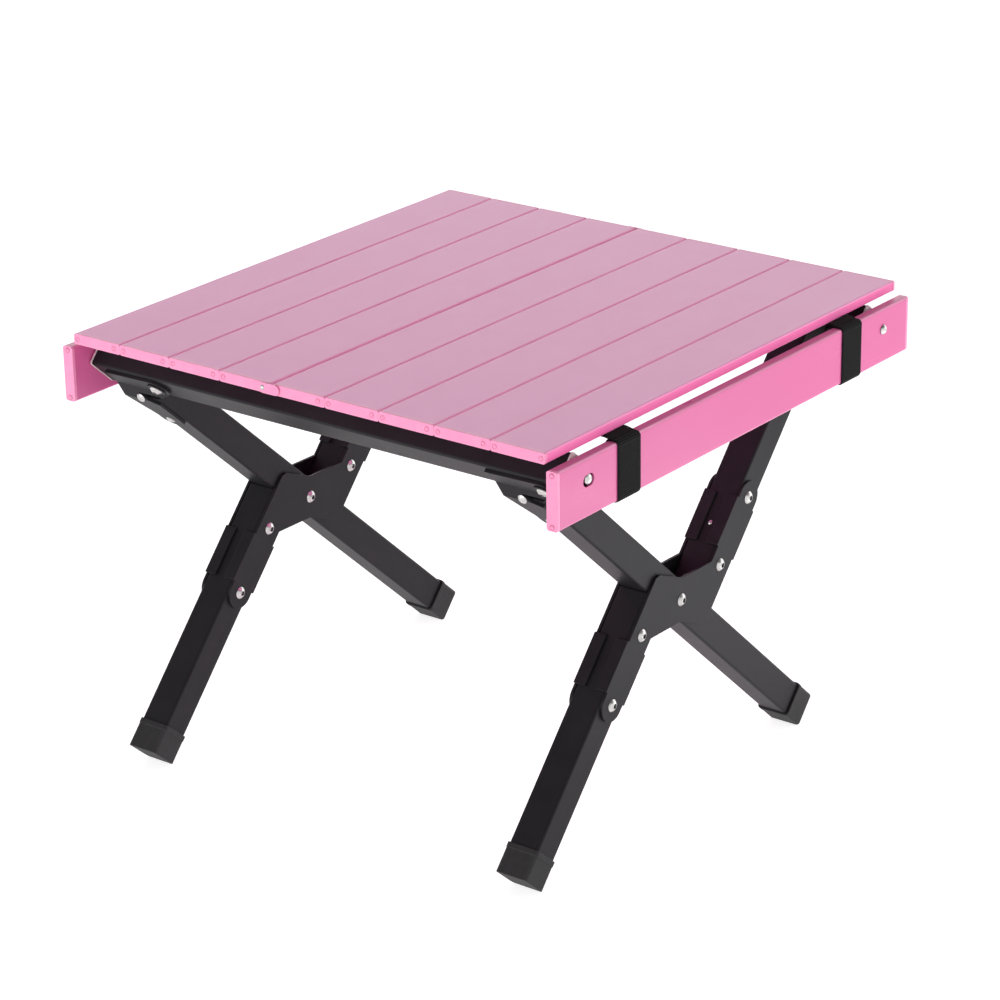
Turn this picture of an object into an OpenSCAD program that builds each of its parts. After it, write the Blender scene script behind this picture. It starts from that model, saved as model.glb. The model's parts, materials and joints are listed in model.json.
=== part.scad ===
// Folding side table: roll-up slatted top on a scissor-leg frame with two side rails.
// Units are millimetres. X runs across the slats, Y along them, Z up, floor at Z = 0.

/* [Top] */
// Number of slats across the top
slat_count = 9; // [5:2:13]
// Distance from one slat to the next
slat_pitch = 48; // [36:1:60]
// Open groove between two slats
slat_gap = 0.5; // [0.3:0.1:2]
// Gap between neighbouring end caps
cap_gap = 0.12; // [0.05:0.01:0.5]
// Width of the first and the last slat
edge_slat_w = 45; // [30:0.5:60]
// Slat that ends at the wider groove
link_slat = 4; // [1:1:8]
// Width of that groove
link_gap = 1.4; // [0.5:0.1:3]
// Slat thickness
slat_t = 8; // [5:0.5:14]
// Overall length of the slats with their end caps
top_len = 445.5; // [300:0.5:600]
// Height of the top face above the floor
table_h = 345.6; // [250:0.1:450]
// Wall of the slat extrusion
slat_wall = 1.3; // [0.8:0.1:3]
// Thickness of the visible face of a slat end cap
cap_t = 2.5; // [1.5:0.5:6]
// Distance of a cap screw from the slat's left edge
cap_screw_left = 3.3; // [2.5:0.1:8]
// Distance of a cap screw from the slat's right edge
cap_screw_right = 5.8; // [2.5:0.1:8]

/* [Rails] */
// Height of a side rail
rail_h = 42.7; // [25:0.1:60]
// Thickness of a side rail
rail_t = 9.2; // [6:0.1:15]
// Overall length of a side rail with its end caps
rail_len = 448.9; // [300:0.1:620]
// Inner face of a rail, from the centre plane
rail_x = 215.5; // [150:0.1:320]
// Gap between the top of the rail and the slats
rail_drop = 2.8; // [1.5:0.1:6]
// Wall of the rail tube
rail_wall = 1.5; // [1:0.1:3]

/* [Legs] */
// Side of the square leg tube
leg_w = 25; // [16:0.5:35]
// Wall of the frame tubes
tube_wall = 1.6; // [1:0.1:3]
// Centre of the legs, from the centre plane
leg_x = 175.6; // [100:0.1:260]
// Tilt of the split legs above the floor
leg_tilt = 48.2; // [40:0.1:56]
// Scissor pivot, distance in front of the centre
pivot_y = -26.8; // [-60:0.1:20]
// Scissor pivot, height above the floor
pivot_z = 165.4; // [110:0.1:230]
// Sideways shift of each split leg half from the pivot
leg_shift = 30.5; // [24:0.1:45]
// Side clearance between the straight leg and the bracket plates
scissor_play = 0.4; // [0.3:0.05:1]

/* [Beams] */
// Thickness of a beam tube, along the split legs
beam_t = 25; // [18:0.5:36]
// Width of a beam tube, along the straight legs
beam_w = 30.5; // [20:0.5:40]
// Distance from the pivot to the near side of the front beam
beam_q = 206.8; // [140:0.1:260]
// Step of the front beam above the lower face of the leg
beam_step = 5.5; // [0:0.5:12]
// Half length of a beam tube
beam_half = 212.5; // [140:0.5:310]
// Thickness of the beam plug flange
plug_t = 1.2; // [0.8:0.1:3]
// Thickness of the corner gusset sheet
gusset_t = 2.5; // [1.5:0.1:4]

/* [Feet] */
// Outer width of a foot boot
foot_w = 27; // [20:0.1:40]
// Length of a foot boot
foot_len = 23; // [15:0.5:40]

/* [Scissor bracket] */
// Thickness of the bracket sheet
plate_t = 2; // [1.5:0.5:4]
// Distance of the inner bolts along the split legs
bolt_in = 41.1; // [30:0.1:60]
// Distance of the end bolts along the split legs
bolt_out = 96.3; // [70:0.1:130]
// Start of the bent lips along the split legs
lip_from = 51; // [40:1:70]
// End of the bent lips along the split legs
lip_to = 91; // [70:1:110]
// Reach of a bent lip across the leg
lip_w = 10; // [6:0.5:12]

/* [Fasteners] */
// Radius of the frame bolts
bolt_r = 3; // [2:0.25:4]
// Radius of the button heads
head_r = 4.9; // [3.5:0.1:7]
// Height of the button heads
head_h = 3; // [1.5:0.1:4]
// Radius of the rivet heads
rivet_r = 3.8; // [2:0.1:5]
// Radial running clearance of the pivots
run_fit = 0.05; // [0.01:0.01:0.1]

/* [Straps] */
// Width of the webbing
strap_w = 27; // [15:0.5:40]
// Thickness of the webbing
strap_t = 1.3; // [0.8:0.1:2]
// Centre of the straps from the middle of the rail
strap_y = 143; // [80:1:180]

/* [Hidden] */
$fn = 32;
pink = [0.93, 0.62, 0.76];
pink_light = [0.98, 0.76, 0.86];
black = [0.13, 0.13, 0.14];
silver = [0.78, 0.78, 0.8];
rubber = [0.08, 0.08, 0.08];
pale = [0.9, 0.88, 0.88];
hw = leg_w / 2;
slat_w = slat_pitch - slat_gap;
slat_r = 1.6;
slat_z = table_h - slat_t / 2;
under_z = table_h - slat_t;
rail_top = under_z - rail_drop;
rail_z = rail_top - rail_h / 2;
foot_hw = foot_w / 2;
// reach of the legs from the pivot, so that the lower edge of each boot meets the floor
reach_b = (pivot_z - foot_hw * sin(leg_tilt)) / cos(leg_tilt);
reach_a = (pivot_z + (leg_shift - foot_hw) * cos(leg_tilt)) / sin(leg_tilt);
// hinge plates of the wide groove: screw places from the groove, end radius, gap to the caps, thickness
link_x = (link_slat + 0.5 - (slat_count + 1) / 2) * slat_pitch;
link_screw = [-7.8, 3.4];
link_r = 3.9;
link_play = 0.35;
link_t = 0.9;
boot_floor = 4;
tube_r = 2;
// front beam in the leg frame: y along the split legs, z along the straight legs
fb_y = -hw + beam_step + beam_t / 2;
fb_z = beam_q + beam_w / 2;
// rear beam: bolted under the upper leg halves, level with the front beam
rb_z = -leg_shift - hw - beam_w / 2;
rb_y = fb_y + (fb_z - rb_z) * cos(leg_tilt) / sin(leg_tilt);
// rail bolts, a little off the middle of the beam plugs
plug_bore_up = 1.5;
front_y = pivot_y + (fb_y + plug_bore_up) * cos(leg_tilt) - fb_z * sin(leg_tilt);
rear_y = pivot_y + (rb_y + plug_bore_up) * cos(leg_tilt) - rb_z * sin(leg_tilt);
rail_bolt_z = pivot_z + (fb_y + plug_bore_up) * sin(leg_tilt) + fb_z * cos(leg_tilt);
// upper leg halves end just under the slats
leg_top_a = (under_z - 0.8 - pivot_z + (leg_shift - hw) * cos(leg_tilt)) / sin(leg_tilt);
// gusset: flat on the leg up to the first bend, flat on the beam from the second
gusset_bend = [beam_q, beam_q + 10];
gusset_bolt = [20, beam_q + 17.7];
gusset_rivet = [[-5, beam_q + 1], [-1, beam_q - 35]];
gusset_slope = atan(beam_step / (gusset_bend[1] - gusset_bend[0]));
bolt_hole = bolt_r + 0.1;
washer_t = 1.2;

// ---------- helpers ----------

// places children in the leg frame: y along the split legs, z along the straight legs
module leg_frame() {
  translate([0, pivot_y, pivot_z]) rotate([leg_tilt, 0, 0]) children();
}

module round_rect(a, b, r) {
  square([a - 2 * r, b], center = true);
  square([a, b - 2 * r], center = true);
  for (x = [-1, 1], y = [-1, 1]) translate([x * (a / 2 - r), y * (b / 2 - r)]) circle(r = r);
}

module tube_2d(a, b, wall) {
  difference() {
    round_rect(a, b, tube_r);
    square([a - 2 * wall, b - 2 * wall], center = true);
  }
}

// tube along +Y from y0 to y1
module tube_y(a, b, wall, y0, y1) {
  translate([0, y1, 0]) rotate([90, 0, 0]) linear_extrude(y1 - y0) tube_2d(a, b, wall);
}

// round bar along +X from x0 to x1
module bar_x(r, x0, x1) {
  translate([x0, 0, 0]) rotate([0, 90, 0]) cylinder(r = r, h = x1 - x0);
}

// button head with a hex socket, base at the origin, dome towards +Z
module button_head(r, h) {
  difference() {
    scale([1, 1, h / (0.45 * r)]) intersection() {
      translate([0, 0, -r]) sphere(r = r * 1.4142, $fn = 40);
      cylinder(r = r, h = r);
    }
    translate([0, 0, h * 0.35]) cylinder(r = r * 0.42, h = h, $fn = 6);
  }
}

// domed rivet head, base at the origin
module dome(r, h) {
  intersection() {
    translate([0, 0, h - (r * r + h * h) / (2 * h)]) sphere(r = (r * r + h * h) / (2 * h), $fn = 40);
    cylinder(r = r, h = h);
  }
}

// through bolt along X: button head on +X, domed nut on -X
module through_bolt(x0, x1) {
  bar_x(bolt_r, x0 - 0.5, x1 + 0.5);
  translate([x1, 0, 0]) rotate([0, 90, 0]) button_head(head_r, head_h);
  translate([x0, 0, 0]) rotate([0, -90, 0]) dome(head_r, head_h);
}

// ---------- top ----------

function slat_width(i) = i == 1 || i == slat_count ? edge_slat_w : slat_w;
// middle of a slat: an edge slat is cut down on its outer side, the wide groove shifts what is left of it
function slat_x(i) = (i - (slat_count + 1) / 2) * slat_pitch - (i > link_slat ? 0 : link_gap - slat_gap)
  + (i == 1 ? 1 : i == slat_count ? -1 : 0) * (slat_w - edge_slat_w) / 2;

module slat_outline(w) {
  round_rect(w, slat_t, slat_r);
}

module slat_cells(w, play) {
  cell = (w - 4 * slat_wall) / 3;
  for (k = [-1, 0, 1])
    translate([k * (cell + slat_wall), 0])
      square([cell - 2 * play, slat_t - 2 * slat_wall - 2 * play], center = true);
}

module slat(i) {
  half = top_len / 2 - cap_t;
  color(pink) translate([slat_x(i), half, slat_z]) rotate([90, 0, 0])
    linear_extrude(2 * half) difference() {
      slat_outline(slat_width(i));
      slat_cells(slat_width(i), 0);
    }
}

// groove round a recessed screw head of radius r
module screw_ring(r) {
  difference() {
    cylinder(r = r + 0.4, h = 1, center = true);
    cylinder(r = r, h = 3, center = true);
  }
}

module slat_caps(i) {
  w = slat_width(i);
  right = i == slat_count ? cap_screw_left : cap_screw_right;
  // the link plates cover one screw on each side of the wide groove
  screws = [for (x = [-w / 2 + cap_screw_left, w / 2 - right])
    if ((i != link_slat || x < 0) && (i != link_slat + 1 || x > 0)) x];
  color(pink_light) for (s = [-1, 1]) scale([1, s, 1]) translate([slat_x(i), top_len / 2, slat_z]) {
    difference() {
      rotate([90, 0, 0]) linear_extrude(cap_t) slat_outline(w + slat_gap - cap_gap);
      for (x = screws) translate([x, 0, 0]) rotate([90, 0, 0]) screw_ring(1.5);
    }
    rotate([90, 0, 0]) translate([0, 0, cap_t - 0.01]) linear_extrude(8) slat_cells(w, 0.1);
    for (x = screws) translate([x, 0, 0]) rotate([-90, 0, 0]) dome(1.3, 0.4);
  }
}

// places children on the end faces of the top at the wide groove, outward along +Z
module link_frame() {
  for (s = [-1, 1]) scale([1, s, 1]) translate([link_x, top_len / 2, slat_z]) rotate([-90, 0, 0]) children();
}

// small plates that hinge the two parts of the top together at the wide groove
module groove_links() {
  color(pink_light) link_frame() {
    translate([0, 0, link_play]) linear_extrude(link_t) {
      for (x = link_screw) translate([x, 0]) circle(r = link_r);
      translate([link_screw[0], -link_r]) square([link_screw[1] - link_screw[0], 2 * link_r]);
    }
    translate([link_screw[0], 0, 0]) cylinder(r = 3, h = link_play + 0.01);
    translate([link_screw[1], 0, link_play + link_t]) dome(1.8, 0.5);
  }
}

module link_screws() {
  color(silver) link_frame() translate([link_screw[0], 0, link_play + link_t]) dome(2, 0.9);
}

// webbing tabs on the underside of the last slat, reaching towards the rail
module strap_tabs() {
  color(black) for (s = [-1, 1])
    translate([rail_x - 28, s * strap_y - strap_w / 2, under_z - strap_t]) cube([25.5, strap_w, strap_t]);
}

// ---------- rails ----------

module slot_2d(len, high) {
  for (k = [-1, 1]) translate([k * (len - high) / 2, 0]) circle(d = high);
  square([len - high, high], center = true);
}

module rail(side) {
  half = rail_len / 2 - cap_t;
  color(pink) difference() {
    translate([side * (rail_x + rail_t / 2), 0, rail_z]) difference() {
      tube_y(rail_t, rail_h, rail_wall, -half, half);
    }
    for (y = [front_y, rear_y])
      translate([0, y, rail_bolt_z]) rotate([0, 0, side < 0 ? 180 : 0])
        bar_x(bolt_r + run_fit, rail_x - 1, rail_x + rail_t + 1);
    translate([side * (rail_x + rail_t - rail_wall - 0.5), front_y - 1.4, rail_bolt_z])
      rotate([90, 0, 90]) translate([0, 0, side > 0 ? 0 : -rail_wall - 2])
        linear_extrude(rail_wall + 2) slot_2d(12.6, 9);
  }
}

module rail_caps(side) {
  color(pink_light) translate([side * (rail_x + rail_t / 2), 0, rail_z])
    for (s = [-1, 1]) scale([1, s, 1]) translate([0, rail_len / 2, 0]) rotate([90, 0, 0]) {
      difference() {
        linear_extrude(cap_t) round_rect(rail_t, rail_h, tube_r);
        for (k = [-1, 1]) translate([0, k * (rail_h / 2 - 3), 0]) screw_ring(1.7);
      }
      translate([0, 0, cap_t - 0.01]) linear_extrude(10)
        square([rail_t - 2 * rail_wall - 0.2, rail_h - 2 * rail_wall - 0.2], center = true);
    }
}

module rail_screws(side) {
  color(pink) for (s = [-1, 1], k = [-1, 1])
    translate([side * (rail_x + rail_t / 2), s * rail_len / 2, rail_z + k * (rail_h / 2 - 3)])
      rotate([-s * 90, 0, 0]) dome(1.5, 0.5);
}

module rail_hook_bolt(side) {
  color(silver) translate([0, front_y, rail_bolt_z]) rotate([0, 0, side < 0 ? 180 : 0]) {
    bar_x(bolt_r, rail_x - 1, rail_x + rail_t - 2);
    bar_x(bolt_r + 2.5, rail_x + rail_wall, rail_x + rail_wall + 1.5);
    bar_x(bolt_r + 1, rail_x + rail_wall, rail_x + rail_t - 1.5);
    translate([rail_x + rail_t - 1.5, 0, 0]) rotate([0, 90, 0]) dome(bolt_r + 1.2, 2);
  }
}

// webbing loop closed round the rail
module strap(s) {
  color(black) translate([rail_x + rail_t / 2, s * strap_y + strap_w / 2, rail_z]) rotate([90, 0, 0])
    linear_extrude(strap_w) difference() {
      round_rect(rail_t + 2 * strap_t, rail_h + 2 * strap_t, tube_r + 1);
      round_rect(rail_t, rail_h, tube_r);
    }
}

// ---------- front frame ----------

module beam(y, z) {
  color(black) leg_frame() translate([-beam_half, y, z]) rotate([90, 0, 90])
    linear_extrude(2 * beam_half) tube_2d(beam_t, beam_w, tube_wall);
}

// front beam, bored for the gusset bolts
module front_beam() {
  difference() {
    beam(fb_y, fb_z);
    leg_frame() for (side = [-1, 1])
      translate([side * leg_x + gusset_bolt[0], -hw + beam_step + 3, gusset_bolt[1]])
        rotate([90, 0, 0]) cylinder(r = bolt_hole, h = 6);
  }
}

module beam_plugs(y, z) {
  inner = 2 * tube_wall + 0.2;
  color(pale) for (s = [-1, 1]) scale([s, 1, 1])
    leg_frame() translate([beam_half, y, z]) rotate([90, 0, 90]) difference() {
      union() {
        linear_extrude(plug_t) round_rect(beam_t + 1.2, beam_w + 1.2, tube_r + 0.6);
        translate([0, 0, -14]) linear_extrude(14.01) square([beam_t - inner, beam_w - inner], center = true);
      }
      translate([plug_bore_up, 0, -12]) cylinder(r = bolt_hole, h = 20);
    }
}

module leg_long(side) {
  color(black) leg_frame() translate([side * leg_x, 0, 0]) difference() {
    translate([0, 0, -reach_b + boot_floor]) linear_extrude(reach_b - boot_floor + beam_q)
      tube_2d(leg_w - 2 * scissor_play, leg_w, tube_wall);
    bar_x(bolt_r + run_fit, -hw, hw);
  }
}

// outline of a corner gusset: x from the leg centre, y along the straight leg
module gusset_2d() {
  arm = 10;
  top = beam_q + beam_w - 5;
  low = beam_q + 5.5;
  shoulder = beam_q + 12;
  difference() {
    union() {
      hull() {
        translate([0, gusset_rivet[1][1]]) circle(r = arm);
        translate([-arm, beam_q - 8]) square([2 * arm, 1]);
      }
      polygon([[-arm, beam_q - 30], [arm, beam_q - 9], [arm, shoulder], [-26, shoulder]]);
      hull() {
        translate(gusset_bolt) circle(r = 10.5);
        translate([-26, shoulder]) square([1, top - shoulder]);
      }
      translate([0, low]) square([gusset_bolt[0], 4]);
    }
    polygon([[-6, low], [gusset_bolt[0] + 14, low], [arm, beam_q - 5]]);
    translate(gusset_bolt) circle(r = bolt_hole);
  }
}

// side profile of the gusset sheet: on the leg, then sloped up onto the beam
module gusset_profile() {
  lo = -hw - gusset_t;
  hi = lo + beam_step;
  ends = [beam_q - 60, beam_q + beam_w];
  polygon([[lo, ends[0]], [lo, gusset_bend[0]], [hi, gusset_bend[1]], [hi, ends[1]],
           [hi + gusset_t, ends[1]], [hi + gusset_t, gusset_bend[1]],
           [lo + gusset_t, gusset_bend[0]], [lo + gusset_t, ends[0]]]);
}

module gussets() {
  color(black) leg_frame() for (side = [-1, 1]) translate([side * leg_x, 0, 0]) intersection() {
    rotate([90, 0, 0]) translate([0, 0, -hw]) linear_extrude(leg_w * 2) gusset_2d();
    translate([-leg_w * 1.5, 0, 0]) rotate([90, 0, 90]) linear_extrude(leg_w * 3) gusset_profile();
  }
}

module gusset_rivets() {
  slope_y = -hw - gusset_t + (gusset_rivet[0][1] - gusset_bend[0]) * tan(gusset_slope);
  color(silver) leg_frame() for (side = [-1, 1]) translate([side * leg_x, 0, 0]) {
    translate([gusset_rivet[0][0], slope_y, gusset_rivet[0][1]]) rotate([90 - gusset_slope, 0, 0])
      dome(rivet_r, 1.6);
    translate([gusset_rivet[1][0], -hw - gusset_t, gusset_rivet[1][1]]) rotate([90, 0, 0]) dome(rivet_r, 1.6);
  }
}

module gusset_bolts() {
  grip = gusset_t + tube_wall;
  color(silver) leg_frame() for (side = [-1, 1])
    translate([side * leg_x + gusset_bolt[0], beam_step - hw - gusset_t, gusset_bolt[1]])
    rotate([90, 0, 0]) {
      translate([0, 0, washer_t]) button_head(head_r, head_h);
      translate([0, 0, -grip]) cylinder(r = bolt_r, h = grip + washer_t + 0.1);
    }
}

module gusset_washers() {
  color(black) leg_frame() for (side = [-1, 1])
    translate([side * leg_x + gusset_bolt[0], beam_step - hw - gusset_t, gusset_bolt[1]])
    rotate([90, 0, 0]) difference() {
      cylinder(r = head_r * 1.5, h = washer_t);
      translate([0, 0, -1]) cylinder(r = bolt_hole, h = washer_t + 2);
    }
}

// boot on a leg end, opening towards +Z, outer end at z = 0
module boot() {
  difference() {
    union() {
      linear_extrude(foot_len) round_rect(foot_w, foot_w, 2.6);
      translate([0, 0, foot_len - 4]) linear_extrude(4) round_rect(foot_w + 0.8, foot_w + 0.8, 3);
    }
    translate([0, 0, boot_floor]) linear_extrude(foot_len) round_rect(leg_w, leg_w, tube_r);
  }
}

module foot_rear(side) {
  color(rubber) leg_frame() translate([side * leg_x, 0, -reach_b]) boot();
}

// ---------- rear frame ----------

module leg_lower(side) {
  color(black) leg_frame() translate([side * leg_x, 0, leg_shift]) difference() {
    tube_y(leg_w, leg_w, tube_wall, -reach_a + boot_floor, -hw - 0.5);
    for (p = [bolt_in, bolt_out]) translate([0, -p, 0]) bar_x(bolt_hole, -hw - 1, hw + 1);
  }
}

module leg_upper(side) {
  color(black) leg_frame() translate([side * leg_x, 0, -leg_shift]) difference() {
    tube_y(leg_w, leg_w, tube_wall, hw + 0.5, leg_top_a);
    for (p = [bolt_in, bolt_out]) translate([0, p, 0]) bar_x(bolt_hole, -hw - 1, hw + 1);
  }
}

module leg_upper_plugs() {
  w = leg_w - 2 * tube_wall - 0.2;
  color(rubber) leg_frame() for (side = [-1, 1])
    translate([side * leg_x - w / 2, leg_top_a - 8, -leg_shift - w / 2]) cube([w, 8, w]);
}

// half of the bracket outline: from the lower arm over the straight leg to the upper arm
function bracket_half() = [
  [-bolt_out, leg_shift + hw], [-1, leg_shift + hw], [3, leg_shift + hw - 3], [hw - 2, leg_shift - hw + 1],
  [hw + 0.5, leg_shift - hw - 7], [bolt_in - 2.6, hw - leg_shift], [bolt_out, hw - leg_shift]
];

module bracket_2d() {
  difference() {
    union() {
      polygon(concat(bracket_half(), [for (v = bracket_half()) -v]));
      for (k = [-1, 1]) translate([k * bolt_out, -k * leg_shift]) circle(r = hw);
    }
    circle(r = bolt_r + run_fit);
    for (k = [-1, 1], p = [bolt_in, bolt_out]) translate([k * p, -k * leg_shift]) circle(r = bolt_hole);
  }
}

// bracket plate with its flat on the given side of the leg, lips bent over both leg faces
module bracket(side, face) {
  color(black) leg_frame() translate([side * leg_x, 0, 0]) {
    translate([face > 0 ? hw : -hw - plate_t, 0, 0]) rotate([90, 0, 90]) linear_extrude(plate_t) bracket_2d();
    for (k = [-1, 1], t = [-1, 1])
      translate([face > 0 ? hw + plate_t - lip_w : -hw - plate_t, k > 0 ? lip_from : -lip_to,
                 -k * leg_shift + (t > 0 ? hw : -hw - plate_t)])
        cube([lip_w, lip_to - lip_from, plate_t]);
  }
}

module scissor_bolts() {
  color(silver) leg_frame() for (side = [-1, 1])
    translate([side * leg_x, 0, 0]) through_bolt(-hw - plate_t, hw + plate_t);
}

module bracket_bolts() {
  color(silver) leg_frame() for (side = [-1, 1], k = [-1, 1], p = [bolt_in, bolt_out])
    translate([side * leg_x, k * p, -k * leg_shift]) through_bolt(-hw - plate_t, hw + plate_t);
}

module bracket_rivets() {
  color(silver) leg_frame() for (side = [-1, 1])
    translate([side * leg_x, (lip_from + lip_to) / 2 - 4, -leg_shift + hw]) dome(2, 0.8);
}

// angles between the upper leg halves and the underside of the rear beam
module rear_angles() {
  y1 = rb_y - beam_t / 2;
  color(black) leg_frame() for (side = [-1, 1]) translate([side * leg_x - hw, 0, -leg_shift - hw]) {
    translate([0, y1 - 34, -plate_t]) cube([leg_w, 34, plate_t]);
    translate([0, y1 - plate_t, -26]) cube([leg_w, plate_t, 26]);
  }
}

module rear_angle_bolts() {
  y1 = rb_y - beam_t / 2;
  color(silver) leg_frame() for (side = [-1, 1]) translate([side * leg_x, 0, -leg_shift - hw]) {
    translate([0, y1 - 22, -plate_t]) rotate([180, 0, 0]) button_head(head_r, head_h);
    translate([0, y1 - plate_t, -15]) rotate([90, 0, 0]) button_head(head_r, head_h);
  }
}

module foot_front(side) {
  color(rubber) leg_frame() translate([side * leg_x, -reach_a, leg_shift]) rotate([-90, 0, 0]) boot();
}

module rail_pivot_bolts() {
  color(silver) for (side = [0, 180]) translate([0, rear_y, rail_bolt_z]) rotate([0, 0, side]) {
    bar_x(bolt_r, beam_half - 10, rail_x + rail_t + 0.5);
    translate([rail_x + rail_t + 0.4, 0, 0]) rotate([0, 90, 0]) dome(head_r - 1, 2.4);
  }
}

// ---------- selection ----------

slat(1);  // slat_1
slat(2);  // slat_2
slat(3);  // slat_3
slat(4);  // slat_4
slat(5);  // slat_5
slat(6);  // slat_6
slat(7);  // slat_7
slat(8);  // slat_8
slat(9);  // slat_9
slat_caps(1);  // slat_1_caps
slat_caps(2);  // slat_2_caps
slat_caps(3);  // slat_3_caps
slat_caps(4);  // slat_4_caps
slat_caps(5);  // slat_5_caps
slat_caps(6);  // slat_6_caps
slat_caps(7);  // slat_7_caps
slat_caps(8);  // slat_8_caps
slat_caps(9);  // slat_9_caps
strap_tabs();
groove_links();
link_screws();
rail(-1);  // rail_left
rail(1);  // rail_right
rail_caps(-1);  // rail_left_caps
rail_caps(1);  // rail_right_caps
rail_screws(-1);  // rail_left_screws
rail_screws(1);  // rail_right_screws
rail_hook_bolt(-1);  // rail_left_hook_bolt
rail_hook_bolt(1);  // rail_right_hook_bolt
strap(-1);  // strap_front
strap(1);  // strap_rear
front_beam();
beam_plugs(fb_y, fb_z);  // front_beam_plugs
leg_long(-1);  // leg_long_left
leg_long(1);  // leg_long_right
gussets();
gusset_rivets();
gusset_bolts();
gusset_washers();
foot_rear(-1);  // foot_rear_left
foot_rear(1);  // foot_rear_right
beam(rb_y, rb_z);  // rear_beam
beam_plugs(rb_y, rb_z);  // rear_beam_plugs
leg_lower(-1);  // leg_lower_left
leg_lower(1);  // leg_lower_right
leg_upper(-1);  // leg_upper_left
leg_upper(1);  // leg_upper_right
leg_upper_plugs();
bracket(-1, -1);  // bracket_left_outer
bracket(-1, 1);  // bracket_left_inner
bracket(1, 1);  // bracket_right_outer
bracket(1, -1);  // bracket_right_inner
scissor_bolts();
bracket_bolts();
bracket_rivets();
rear_angles();
rear_angle_bolts();
foot_front(-1);  // foot_front_left
foot_front(1);  // foot_front_right
rail_pivot_bolts();
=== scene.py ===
"""Folding side table: finishes, webbing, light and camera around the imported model."""
import json
import math
import bmesh
import bpy
from mathutils import Matrix, Vector


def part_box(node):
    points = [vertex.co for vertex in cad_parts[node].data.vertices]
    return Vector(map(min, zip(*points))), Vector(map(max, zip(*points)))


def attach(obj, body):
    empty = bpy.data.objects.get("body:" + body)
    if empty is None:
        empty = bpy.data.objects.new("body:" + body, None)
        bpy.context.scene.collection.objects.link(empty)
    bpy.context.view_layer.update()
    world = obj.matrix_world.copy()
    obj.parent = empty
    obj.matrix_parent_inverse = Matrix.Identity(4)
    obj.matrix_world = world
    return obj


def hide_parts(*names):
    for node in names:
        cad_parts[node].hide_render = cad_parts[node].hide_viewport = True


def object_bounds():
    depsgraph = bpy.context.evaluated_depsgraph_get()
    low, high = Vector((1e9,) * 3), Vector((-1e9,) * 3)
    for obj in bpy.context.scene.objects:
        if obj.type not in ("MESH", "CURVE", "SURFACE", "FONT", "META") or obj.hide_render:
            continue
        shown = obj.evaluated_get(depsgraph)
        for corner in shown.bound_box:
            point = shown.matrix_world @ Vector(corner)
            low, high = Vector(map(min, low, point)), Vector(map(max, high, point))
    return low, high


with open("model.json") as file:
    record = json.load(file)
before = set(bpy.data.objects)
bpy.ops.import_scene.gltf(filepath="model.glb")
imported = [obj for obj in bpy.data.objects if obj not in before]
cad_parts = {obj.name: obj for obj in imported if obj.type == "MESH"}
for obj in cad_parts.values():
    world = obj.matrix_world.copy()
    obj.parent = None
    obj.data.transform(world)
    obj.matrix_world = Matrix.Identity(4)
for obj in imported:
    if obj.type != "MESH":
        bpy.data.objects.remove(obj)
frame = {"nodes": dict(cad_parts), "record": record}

MM = 0.001
CAD_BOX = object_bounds()
RANGE_SOCKETS = ("From Min", "From Max", "To Min", "To Max")

# linear base colours
SLAT_PINK = (0.855, 0.25, 0.55)
SLAT_DEEP = (0.84, 0.24, 0.535)
# painted light: a brighter, more saturated pink for the slats' sides, and a painted highlight for their
# rounded long edges
SLAT_SIDE_LIT = (0.93, 0.135, 0.43)
SLAT_RIM_HIGHLIGHT = (1.0, 0.30, 0.60)
RAIL_PINK = (0.69, 0.14, 0.34)
RAIL_DEEP = (0.67, 0.132, 0.33)
CAP_PINK = (0.93, 0.30, 0.52)
CAP_DEEP = (0.90, 0.27, 0.49)
PINK_PALE = (0.94, 0.36, 0.57)
COAT_BLACK = (0.0100, 0.0094, 0.0106)
# worn edge colour of the black coat, which also serves as a painted highlight along the edges
COAT_WORN_LIT = (0.045, 0.043, 0.046)
COOL = (0.96, 0.92, 1.0, 1.0)  # tint of the black coat's reflections
BOOT = (0.017, 0.0165, 0.0175)
BOOT_WORN = (0.045, 0.043, 0.046)
STEEL = (0.66, 0.645, 0.63)
STEEL_DULL = (0.46, 0.45, 0.45)
# painted shade for the insides of the bolts' sockets
SOCKET_SHADE = (0.02, 0.02, 0.02)
PALE = (0.78, 0.70, 0.70)
PALE_DEEP = (0.66, 0.55, 0.56)
THREAD = (0.026, 0.025, 0.026)
# darkest thread colour, also the painted shade in the valleys between the ribs
THREAD_DARK_AND_SHADE = (0.0010, 0.0009, 0.0010)


# ---------- materials ----------

WAVE_TURN = 20  # radians that the wave texture turns over one unit at a scale of 1


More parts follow.
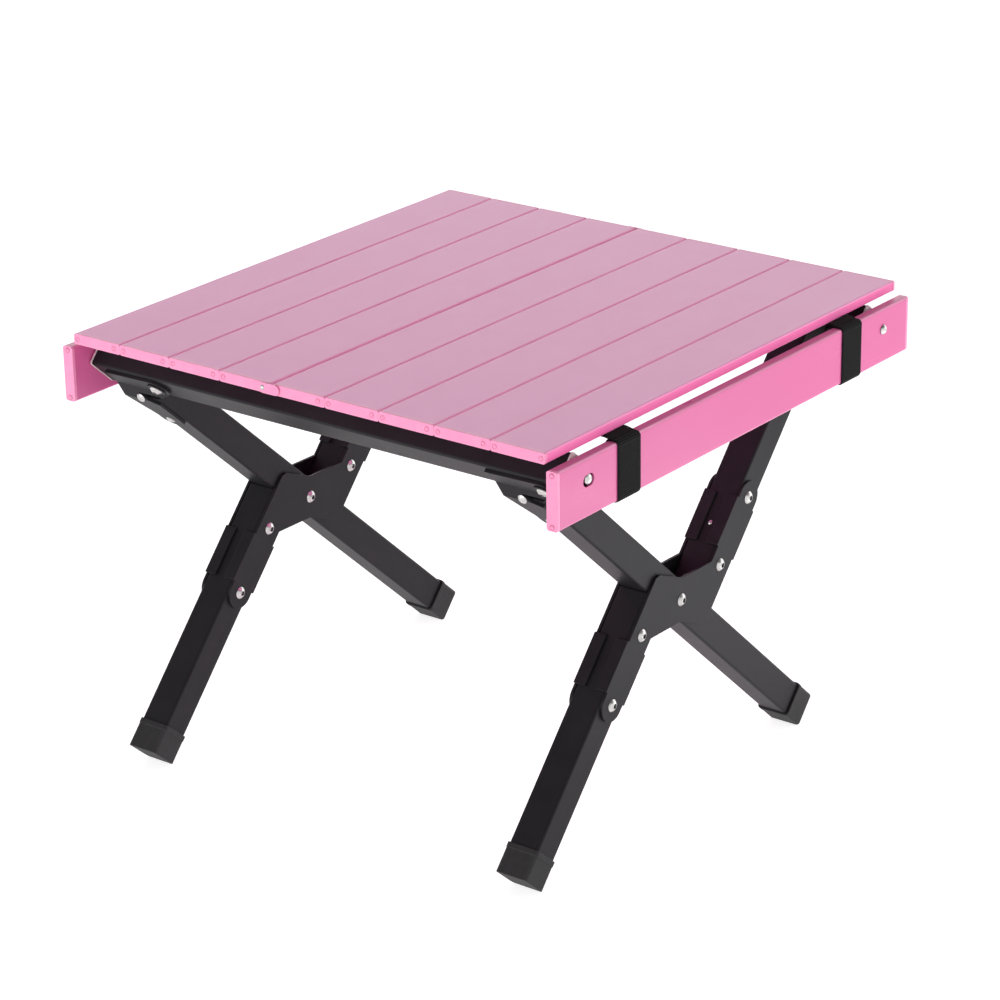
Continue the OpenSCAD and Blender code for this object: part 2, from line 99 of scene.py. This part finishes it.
class Finish:
    """One node material, with helpers that work in millimetres on the object's own coordinates."""

    def __init__(self, name, roughness, specular=0.5, metallic=0.0):
        self.material = bpy.data.materials.new(name)
        self.material.use_nodes = True
        self.tree = self.material.node_tree
        self.shader = self.tree.nodes["Principled BSDF"]
        self.shader.inputs["Roughness"].default_value = roughness
        self.shader.inputs["Specular IOR Level"].default_value = specular
        self.shader.inputs["Metallic"].default_value = metallic

    def node(self, kind, **values):
        made = self.tree.nodes.new(kind)
        for key, value in values.items():
            setattr(made, key, value)
        return made

    def wire(self, source, target):
        self.tree.links.new(source, target)

    def place(self, stretch=(1.0, 1.0, 1.0), turn=(0.0, 0.0, 0.0)):
        """Object coordinates in millimetres, multiplied by stretch."""
        coords = self.node("ShaderNodeTexCoord")
        mapping = self.node("ShaderNodeMapping")
        mapping.inputs["Rotation"].default_value = turn
        mapping.inputs["Scale"].default_value = [k / MM for k in stretch]
        self.wire(coords.outputs["Object"], mapping.inputs["Vector"])
        return mapping.outputs["Vector"]

    def noise(self, at, size, detail=2.0):
        """Cloudy noise with features about size millimetres across."""
        made = self.node("ShaderNodeTexNoise")
        made.inputs["Scale"].default_value = 1 / size
        made.inputs["Detail"].default_value = detail
        self.wire(at, made.inputs["Vector"])
        return made.outputs["Fac"]

    def ribs(self, at, axis, pitch):
        """Ridges across one axis, pitch millimetres apart."""
        made = self.node("ShaderNodeTexWave", wave_type="BANDS", bands_direction=axis)
        made.inputs["Scale"].default_value = math.tau / WAVE_TURN / pitch
        made.inputs["Distortion"].default_value = 0.4
        self.wire(at, made.inputs["Vector"])
        return made.outputs["Fac"]

    def spread(self, value, low, high, start=0.3, stop=0.7):
        """value between start and stop, spread from low to high."""
        made = self.node("ShaderNodeMapRange")
        for name, number in zip(RANGE_SOCKETS, (start, stop, low, high)):
            made.inputs[name].default_value = number
        self.wire(value, made.inputs["Value"])
        return made.outputs["Result"]

    def blend(self, value, first, second):
        """Colour that goes from first to second with value; either may be a socket."""
        made = self.node("ShaderNodeMix", data_type="RGBA")
        self.wire(value, made.inputs["Factor"])
        for name, colour in (("A", first), ("B", second)):
            socket = [s for s in made.inputs if s.name == name and s.type == "RGBA"][0]
            if isinstance(colour, tuple):
                socket.default_value = (*colour, 1.0)
            else:
                self.wire(colour, socket)
        return [s for s in made.outputs if s.type == "RGBA"][0]

    def add(self, first, second, share):
        """first plus share times second."""
        made = self.node("ShaderNodeMath", operation="MULTIPLY_ADD")
        made.inputs[1].default_value = share
        self.wire(second, made.inputs[0])
        self.wire(first, made.inputs[2])
        return made.outputs["Value"]

    def edge(self, radius, low, high):
        """Mask that rises from 0 to 1 at the edges, and a normal rounded over radius millimetres."""
        bevel = self.node("ShaderNodeBevel", samples=6)
        bevel.inputs["Radius"].default_value = radius * MM
        flat = self.node("ShaderNodeNewGeometry")
        dot = self.node("ShaderNodeVectorMath", operation="DOT_PRODUCT")
        self.wire(bevel.outputs["Normal"], dot.inputs[0])
        self.wire(flat.outputs["True Normal"], dot.inputs[1])
        return self.spread(dot.outputs["Value"], 1.0, 0.0, low, high), bevel.outputs["Normal"]

    def sideways(self, low, high):
        """0 where the surface faces up, down, front or rear, to 1 where it faces left or right.

        With low above high it is the other way round.
        """
        split = self.node("ShaderNodeSeparateXYZ")
        self.wire(self.node("ShaderNodeNewGeometry").outputs["Normal"], split.inputs["Vector"])
        size = self.node("ShaderNodeMath", operation="ABSOLUTE")
        self.wire(split.outputs["X"], size.inputs[0])
        return self.spread(size.outputs["Value"], 0.0, 1.0, low, high)

    def times(self, first, second):
        made = self.node("ShaderNodeMath", operation="MULTIPLY")
        self.wire(first, made.inputs[0])
        self.wire(second, made.inputs[1])
        return made.outputs["Value"]

    def colour(self, socket):
        self.wire(socket, self.shader.inputs["Base Color"])

    def rough(self, value, low, high):
        self.wire(self.spread(value, low, high), self.shader.inputs["Roughness"])

    def bump(self, height, depth, normal=None):
        """Relief of depth millimetres."""
        made = self.node("ShaderNodeBump")
        made.inputs["Strength"].default_value = 1.0
        made.inputs["Distance"].default_value = depth * MM
        self.wire(height, made.inputs["Height"])
        if normal is not None:
            self.wire(normal, made.inputs["Normal"])
        self.wire(made.outputs["Normal"], self.shader.inputs["Normal"])


def brushed_pink(name):
    """Satin anodised slats with a fine grain along them, with painted light on their sides and a painted
    highlight on the rounded edges of each slat.
    """
    f = Finish(name, 0.36, specular=0.85)
    grain = f.noise(f.place(stretch=(2.2, 0.035, 2.2)), 1.0, 3.0)
    cloud = f.noise(f.place(), 38.0, 3.0)
    speck = f.noise(f.place(), 0.55)
    tone = f.blend(f.spread(cloud, 0.0, 1.0), SLAT_PINK, SLAT_DEEP)
    faint = f.blend(f.spread(grain, 0.0, 0.10), tone, PINK_PALE)
    # painted light on the faces turned left and right, and a painted highlight on the rounded long edges
    # between them and the top
    lit_sides = f.blend(f.sideways(0.03, 0.4), faint, SLAT_SIDE_LIT)
    rim_highlight = f.times(f.sideways(0.03, 0.3), f.sideways(0.98, 0.85))
    f.colour(f.blend(rim_highlight, lit_sides, SLAT_RIM_HIGHLIGHT))
    f.rough(f.add(grain, speck, 0.35), 0.29, 0.44)
    f.bump(f.add(grain, speck, 0.4), 0.006)
    return f.material


def painted_pink(name):
    """Satin paint, a little uneven in tone and gloss, with paler corners."""
    f = Finish(name, 0.33, specular=0.35)
    cloud = f.noise(f.place(stretch=(1.0, 0.4, 1.0)), 30.0, 1.0)
    corner = f.times(f.sideways(0.1, 0.4), f.sideways(0.98, 0.8))
    tone = f.blend(f.spread(cloud, 0.0, 1.0), RAIL_PINK, RAIL_DEEP)
    f.colour(f.blend(f.times(corner, f.spread(cloud, 0.45, 0.9)), tone, PINK_PALE))
    f.rough(cloud, 0.27, 0.36)
    f.bump(cloud, 0.02)
    return f.material


def moulded_pink(name):
    """Moulded end caps: a fine spark grain, paler where the edges are rounded."""
    f = Finish(name, 0.42, specular=0.6)
    grain = f.noise(f.place(), 0.32, 3.0)
    cloud = f.noise(f.place(), 9.0, 2.0)
    worn, soft = f.edge(0.4, 0.8, 0.99)
    tone = f.blend(f.spread(cloud, 0.0, 1.0), CAP_PINK, CAP_DEEP)
    f.colour(f.blend(worn, tone, PINK_PALE))
    f.rough(grain, 0.34, 0.5)
    f.bump(grain, 0.02, soft)
    return f.material


def powder_black(name):
    """Satin powder coat: fine texture, edges rubbed a little lighter, which also stands in as a painted
    highlight along them.
    """
    f = Finish(name, 0.36, specular=0.18)
    f.shader.inputs["Specular Tint"].default_value = COOL
    grain = f.noise(f.place(), 0.6, 3.0)
    cloud = f.noise(f.place(), 24.0, 3.0)
    scuff = f.noise(f.place(stretch=(1.0, 0.3, 1.0)), 6.0, 4.0)
    worn, soft = f.edge(0.6, 0.85, 0.995)
    # edge wear that also serves as a painted highlight along the edges
    rubbed_and_lit = f.times(worn, f.spread(scuff, 0.25, 0.85))
    dusty = tuple(1.35 * c for c in COAT_BLACK)
    tone = f.blend(f.spread(cloud, 0.0, 1.0), COAT_BLACK, dusty)
    f.colour(f.blend(rubbed_and_lit, tone, COAT_WORN_LIT))
    f.rough(f.add(grain, cloud, 0.5), 0.32, 0.5)
    f.bump(grain, 0.022, soft)
    return f.material


SOCKET_SHADE_REACH = 2.4 * MM  # about the depth of the bolts' sockets, whose insides are painted darker as shade


def plated_steel(name):
    """Bright plated screws, bolts and rivets, with painted shade inside their sockets."""
    f = Finish(name, 0.28, metallic=1.0)
    fine = f.noise(f.place(), 0.35, 3.0)
    cloud = f.noise(f.place(), 2.6, 2.0)
    worn, soft = f.edge(0.35, 0.8, 0.99)
    plain = f.blend(f.spread(cloud, 0.0, 1.0), STEEL, STEEL_DULL)
    # painted shade: recesses within about a socket's depth are darkened by ambient occlusion
    painted_socket_shade = f.node("ShaderNodeAmbientOcclusion", samples=8, only_local=True)
    painted_socket_shade.inputs["Distance"].default_value = SOCKET_SHADE_REACH
    f.colour(f.blend(f.spread(painted_socket_shade.outputs["AO"], 1.0, 0.0, 0.35, 0.85), plain, SOCKET_SHADE))
    f.rough(f.add(fine, worn, -0.3), 0.2, 0.38)
    f.bump(fine, 0.01, soft)
    return f.material


def pale_plastic(name):
    """Slightly translucent moulded plugs."""
    f = Finish(name, 0.4)
    f.shader.inputs["Subsurface Weight"].default_value = 0.25
    f.shader.inputs["Subsurface Scale"].default_value = 2 * MM
    grain = f.noise(f.place(), 0.5, 2.0)
    cloud = f.noise(f.place(), 7.0, 2.0)
    worn, soft = f.edge(0.4, 0.8, 0.99)
    tone = f.blend(f.spread(cloud, 0.0, 1.0), PALE, PALE_DEEP)
    f.colour(f.blend(worn, tone, tuple(min(1.0, 1.1 * c) for c in PALE)))
    f.rough(grain, 0.32, 0.48)
    f.bump(grain, 0.012, soft)
    return f.material


def moulded_rubber(name):
    """Matte boots with a coarser grain and scuffed edges."""
    f = Finish(name, 0.55, specular=0.35)
    grain = f.noise(f.place(), 0.75, 4.0)
    scuff = f.noise(f.place(), 5.0, 4.0)
    worn, soft = f.edge(0.9, 0.8, 0.99)
    tone = f.blend(f.spread(scuff, 0.0, 1.0), BOOT, tuple(1.4 * c for c in BOOT))
    f.colour(f.blend(f.times(worn, f.spread(scuff, 0.4, 1.0)), tone, BOOT_WORN))
    f.rough(f.add(grain, scuff, 0.5), 0.45, 0.7)
    f.bump(grain, 0.05, soft)
    return f.material


WEAVE = 0.9  # distance between neighbouring threads across the webbing, in millimetres
RIB_HEIGHT = "rib_height"  # on webbing meshes: 0 in the valleys between the ribs, 1 on top of them


def woven(name):
    """Black webbing: painted light on the rib tops and painted shade in the valleys between them, broken
    into threads along Y, with a soft sheen.
    """
    f = Finish(name, 0.72, specular=0.06)
    f.shader.inputs["Sheen Weight"].default_value = 0.012
    f.shader.inputs["Sheen Roughness"].default_value = 0.5
    rib = f.node("ShaderNodeAttribute", attribute_name=RIB_HEIGHT).outputs["Fac"]
    threads = f.ribs(f.place(), "Y", WEAVE)
    fuzz = f.noise(f.place(), 0.6, 3.0)
    # painted light and shade from the rib height, mixed with the threads and fuzz
    painted_rib_light = f.node("ShaderNodeMath", operation="POWER")
    f.wire(rib, painted_rib_light.inputs[0])
    painted_rib_light.inputs[1].default_value = 1.6
    painted_shade_and_threads = f.add(f.add(painted_rib_light.outputs["Value"], threads, 0.35), fuzz, 0.6)
    f.colour(f.blend(f.spread(painted_shade_and_threads, 0.0, 1.0, 0.45, 1.75), THREAD_DARK_AND_SHADE, THREAD))
    f.rough(fuzz, 0.62, 0.82)
    f.bump(f.add(threads, fuzz, 0.5), 0.08)
    return f.material


FINISHES = {
    "slat_pink": brushed_pink, "cap_pink": moulded_pink, "rail_pink": painted_pink,
    "frame_black": powder_black, "steel": plated_steel, "plug_pale": pale_plastic,
    "boot_black": moulded_rubber, "webbing": woven,
}


BOOT_ROUNDING = 1.3 * MM
BOOT_WELD = 0.01 * MM  # corners closer than this are one corner
BOOT_CORNER = math.radians(50)  # edges sharper than this are rounded


def round_boots():
    """Softens the moulded edges of the boots; the CAD mesh under the modifiers stays as it is."""
    for name, node in frame["nodes"].items():
        if name.startswith("foot_"):
            node.modifiers.new("join", "WELD").merge_threshold = BOOT_WELD
            rounding = node.modifiers.new("rounding", "BEVEL")
            rounding.width = BOOT_ROUNDING
            rounding.segments = 3
            rounding.limit_method = "ANGLE"
            rounding.angle_limit = BOOT_CORNER


def dress_nodes():
    """Every CAD node takes the finish of its material slot. Returns the finishes by slot."""
    made = {slot: build(slot) for slot, build in FINISHES.items()}
    for part in frame["record"]["subparts"]:
        node = frame["nodes"][part["node"]]
        for held in node.material_slots:
            held.material = made[part["material_slot"]]
    return made


# ---------- webbing ----------

RIB = 1.5 * MM  # distance between the ribs that run across the webbing
RIB_DEPTH = 0.2 * MM
SELVEDGE = 1.1 * MM  # rounded edge at each side
STEP = RIB / 5  # distance between the rings of the mesh along the webbing
COLUMNS = 12  # strips across the webbing's width
CROWDING = 0.7  # how much closer together the strips are at the selvedges, from 0 to 1
EDGE_ROUND = 0.06  # keeps the selvedges from thinning to nothing


def rounded_path(low, high, radius):
    """Points and outward normals, STEP apart, round a rectangle in X and Z with rounded corners."""
    points = []
    corners = [(high[0], high[1], 0), (low[0], high[1], 90),
               (low[0], low[1], 180), (high[0], low[1], 270)]
    turns = max(4, round(radius * math.pi / 2 / STEP))
    for k, (x, z, start) in enumerate(corners):
        cx = x - radius if x == high[0] else x + radius
        cz = z - radius if z == high[1] else z + radius
        for t in range(turns + 1):
            a = math.radians(start + 90 * t / turns)
            out = (math.cos(a), math.sin(a))
            points.append(((cx + radius * out[0], cz + radius * out[1]), out))
        after = corners[(k + 1) % 4]
        side = Vector((after[0] - x, after[1] - z))
        run = side.length - 2 * radius
        here = Vector(points[-1][0])
        count = round(run / STEP)
        for t in range(1, count):
            points.append((tuple(here + side.normalized() * run * t / count), out))
    return points


def tab_path(start, edge, end, height, drop):
    """Points along X at one height up to edge, then easing down by drop until end."""
    count = round((end - start) / STEP)
    points = []
    for t in range(count + 1):
        x = start + (end - start) * t / count
        share = min(1.0, max(0.0, (x - edge) / (end - edge)))
        points.append(((x, height - drop * share ** 2 * (3 - 2 * share)), (0.0, 1.0)))
    return points


def section(width, thick, rise):
    """Ring of (y, offset) points round the webbing; rise is 0 in a valley and 1 on top of a rib."""
    def half(y):
        inset = max(0.0, abs(y) - (width / 2 - SELVEDGE)) / SELVEDGE
        return thick / 2 * math.sqrt(max(EDGE_ROUND, 1 - inset ** 2))
    even = [t / COLUMNS - 0.5 for t in range(COLUMNS + 1)]
    ys = [width * (CROWDING * math.sin(math.pi * u) / 2 + (1 - CROWDING) * u) for u in even]
    upper = [(y, half(y) - RIB_DEPTH * (1 - rise)) for y in ys]
    lower = [(y, -half(y) + RIB_DEPTH * (1 - rise)) for y in reversed(ys)]
    return upper + lower


def webbing(name, path, closed, y, width, thick, body, node, material):
    """Adds a ribbed strip along path, centred on y, in place of a CAD node."""
    b = bmesh.new()
    height = b.verts.layers.float.new(RIB_HEIGHT)
    rings = []
    for k, ((x, z), (nx, nz)) in enumerate(path):
        rise = 0.5 + 0.5 * math.cos(math.tau * k * STEP / RIB)
        ring = section(width, thick, rise)
        rings.append([b.verts.new((x + nx * o, y + w, z + nz * o)) for w, o in ring])
        for vert in rings[-1]:
            vert[height] = rise
    pairs = list(zip(rings, rings[1:]))
    if closed:
        pairs.append((rings[-1], rings[0]))
    for one, two in pairs:
        for k in range(len(one)):
            after = (k + 1) % len(one)
            b.faces.new((one[k], one[after], two[after], two[k]))
    if not closed:
        b.faces.new(rings[0])
        b.faces.new(list(reversed(rings[-1])))
    bmesh.ops.recalc_face_normals(b, faces=b.faces)
    mesh = bpy.data.meshes.new(name)
    for face in b.faces:
        face.smooth = True
    b.to_mesh(mesh)
    b.free()
    mesh.materials.append(material)
    piece = bpy.data.objects.new(name, mesh)
    bpy.context.scene.collection.objects.link(piece)
    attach(piece, body)
    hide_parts(node)


LOOP_RADIUS = 3.2 * MM
TAB_REACH = 7.0 * MM  # how far the tab laps over the top of its loop
TAB_EASE = 0.9  # how far the lapped end comes down, in thicknesses of the tab


def add_webbing(material):
    """Two loops round the right rail, and the webbing's two ends under the last slat."""
    tab_low, tab_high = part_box("strap_tabs")
    tab_thick = tab_high.z - tab_low.z
    rail_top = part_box("rail_right")[1].z
    flat = tab_path(tab_low.x, tab_high.x, tab_high.x + TAB_REACH,
                    (tab_low.z + tab_high.z) / 2, TAB_EASE * tab_thick)
    spans = {}
    for end in ("front", "rear"):
        low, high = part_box("strap_" + end)
        thick = high.z - rail_top
        spans[end] = (low.y + high.y) / 2, high.y - low.y
        loop = rounded_path((low.x + thick / 2, low.z + thick / 2),
                            (high.x - thick / 2, high.z - thick / 2), LOOP_RADIUS)
        webbing("webbing_loop_" + end, loop, True, *spans[end], thick,
                "right_rail", "strap_" + end, material)
    for end, (y, width) in spans.items():
        webbing("webbing_tab_" + end, flat, False, y, width, tab_thick,
                "top_slat_9", "strap_tabs", material)


# ---------- stage, light and camera ----------

FLOOR_HALF = 14.0
FLOOR_GLOW = 0.74
FLOOR_LIGHT = (0.83, 0.83, 0.83)
FLOOR_DEEP = (0.80, 0.80, 0.80)
WHITE = (1.0, 1.0, 1.0, 1.0)
PAINTED_LIGHT_POOLS = (  # centre, radius and extra glow of the painted pools of light on the floor, which also light the object
    (Vector((0.62, 0.30, 0.0)), 0.45, 2.4),
    (Vector((-1.1, -1.6, 0.0)), 1.2, 1.2),
)
HORIZON = 1.04  # brightness of the surroundings near the floor
ZENITH = 0.16  # brightness overhead
BAND_LOW = 0.34  # sine of the elevation up to which the surroundings stay bright
BAND_HIGH = 0.66
REAR_GAIN = 1.3  # how much brighter the surroundings are behind the object
REAR_FROM = 0.2  # where that extra starts and is full, as the Y of the direction looked in
REAR_FULL = 0.8
FRONT_FILL = 14.0  # watts
SIDE_FILL = 2.0


def add_floor():
    """A white floor that glows a little, more so in painted pools of light."""
    b = bmesh.new()
    bmesh.ops.create_grid(b, x_segments=4, y_segments=4, size=FLOOR_HALF)
    mesh = bpy.data.meshes.new("floor")
    b.to_mesh(mesh)
    b.free()
    floor = bpy.data.objects.new("floor", mesh)
    bpy.context.scene.collection.objects.link(floor)
    f = Finish("floor", 0.9, specular=0.0)
    f.shader.inputs["Emission Color"].default_value = WHITE
    pooled_light = None
    # painted pools of light: extra glow that fades out from each centre
    for centre, radius, gain in PAINTED_LIGHT_POOLS:
        away = f.node("ShaderNodeVectorMath", operation="DISTANCE")
        f.wire(f.place(), away.inputs[0])
        away.inputs[1].default_value = centre / MM
        light_pool = f.spread(away.outputs["Value"], gain, 0.0, 0.0, radius / MM)
        pooled_light = light_pool if pooled_light is None else f.add(pooled_light, light_pool, 1.0)
    total = f.node("ShaderNodeMath", operation="ADD")
    total.inputs[1].default_value = FLOOR_GLOW
    f.wire(pooled_light, total.inputs[0])
    f.wire(total.outputs["Value"], f.shader.inputs["Emission Strength"])
    f.colour(f.blend(f.noise(f.place(), 60.0, 2.0), FLOOR_DEEP, FLOOR_LIGHT))
    mesh.materials.append(f.material)


def add_world():
    """Bright round the horizon, more so behind the object, and dim overhead."""
    world = bpy.data.worlds.new("studio")
    bpy.context.scene.world = world
    world.use_nodes = True
    tree = world.node_tree
    make, wire = tree.nodes.new, tree.links.new
    coords = make("ShaderNodeTexCoord")
    split = make("ShaderNodeSeparateXYZ")
    wire(coords.outputs["Generated"], split.inputs["Vector"])

    def ranged(source, start, stop, low, high):
        made = make("ShaderNodeMapRange")
        made.interpolation_type = "SMOOTHSTEP"
        for name, number in zip(RANGE_SOCKETS, (start, stop, low, high)):
            made.inputs[name].default_value = number
        wire(source, made.inputs["Value"])
        return made.outputs["Result"]

    height = ranged(split.outputs["Z"], BAND_LOW, BAND_HIGH, HORIZON, ZENITH)
    behind = ranged(split.outputs["Y"], REAR_FROM, REAR_FULL, 1.0, 1.0 + REAR_GAIN)
    both = make("ShaderNodeMath")
    both.operation = "MULTIPLY"
    wire(height, both.inputs[0])
    wire(behind, both.inputs[1])
    sky = tree.nodes["Background"]
    sky.inputs["Color"].default_value = WHITE
    wire(both.outputs["Value"], sky.inputs["Strength"])


def add_light(name, at, target, size, power):
    """A rectangular lamp at a point, turned towards target."""
    data = bpy.data.lights.new(name, "AREA")
    data.shape = "RECTANGLE"
    data.size, data.size_y = size
    data.energy = power
    light = bpy.data.objects.new(name, data)
    light.location = at
    light.rotation_mode = "QUATERNION"
    light.rotation_quaternion = (target - at).to_track_quat("-Z", "Y")
    bpy.context.scene.collection.objects.link(light)


def add_lights():
    low, high = CAD_BOX
    middle = (low + high) / 2
    add_light("front_fill", middle + Vector((-0.5, -2.6, 0.35)), middle, (2.4, 0.9), FRONT_FILL)
    add_light("side_fill", middle + Vector((2.8, -0.2, 0.5)), middle, (2.2, 1.0), SIDE_FILL)


CAMERA_AZIMUTH = math.radians(37.441)  # from -Y towards +X
CAMERA_ELEVATION = math.radians(21.766)
CAMERA_ROLL = math.radians(-0.858)
CAMERA_AT = Vector((1.462819, -1.903955, 1.149482))  # metres
CAMERA_LENS = 122.435  # millimetres
SENSOR = 36.0


def add_camera():
    """The camera, turned by azimuth and elevation and then by roll about its own line of sight."""
    az, el, roll = CAMERA_AZIMUTH, CAMERA_ELEVATION, CAMERA_ROLL
    back = Vector((math.sin(az) * math.cos(el), -math.cos(az) * math.cos(el), math.sin(el)))
    level = (-back).cross(Vector((0, 0, 1))).normalized()
    upright = level.cross(-back)
    right = level * math.cos(roll) + upright * math.sin(roll)
    up = upright * math.cos(roll) - level * math.sin(roll)
    data = bpy.data.cameras.new("camera")
    data.lens = CAMERA_LENS
    data.sensor_width = SENSOR
    data.clip_end = 50.0
    camera = bpy.data.objects.new("camera", data)
    camera.matrix_world = Matrix.Translation(CAMERA_AT) @ Matrix((right, up, back)).transposed().to_4x4()
    bpy.context.scene.collection.objects.link(camera)
    bpy.context.scene.camera = camera


finishes = dress_nodes()
round_boots()
add_webbing(finishes["webbing"])
add_floor()
add_world()
add_lights()
add_camera()
bpy.context.scene.view_settings.view_transform = "Standard"
